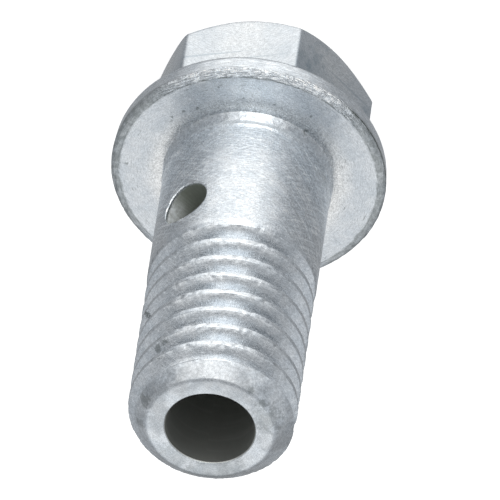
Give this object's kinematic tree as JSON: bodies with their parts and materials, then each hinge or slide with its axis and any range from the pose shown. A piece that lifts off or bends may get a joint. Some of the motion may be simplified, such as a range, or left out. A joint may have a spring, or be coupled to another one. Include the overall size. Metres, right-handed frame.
{
  "type": "banjo bolt",
  "caption": "Flanged hexagon bolt with a blind axial bore and a cross hole, to clamp a banjo fitting and feed fluid through it.",
  "frame": {"origin": "centre of the hexagon head's flat face, which the bolt stands on", "axes": "+Z along the bolt's axis from the head to the threaded tip, +X along the cross hole and through a corner of the hexagon"},
  "size_m": [0.016, 0.0162, 0.0297],
  "materials": {
    "zinc_plated_steel": "bright zinc plate with a slight blue tint, fine grain, rubbed and lightly stained"
  },
  "bodies": {
    "root": {"banjo_bolt": "zinc_plated_steel"}
  },
  "joints": []
}
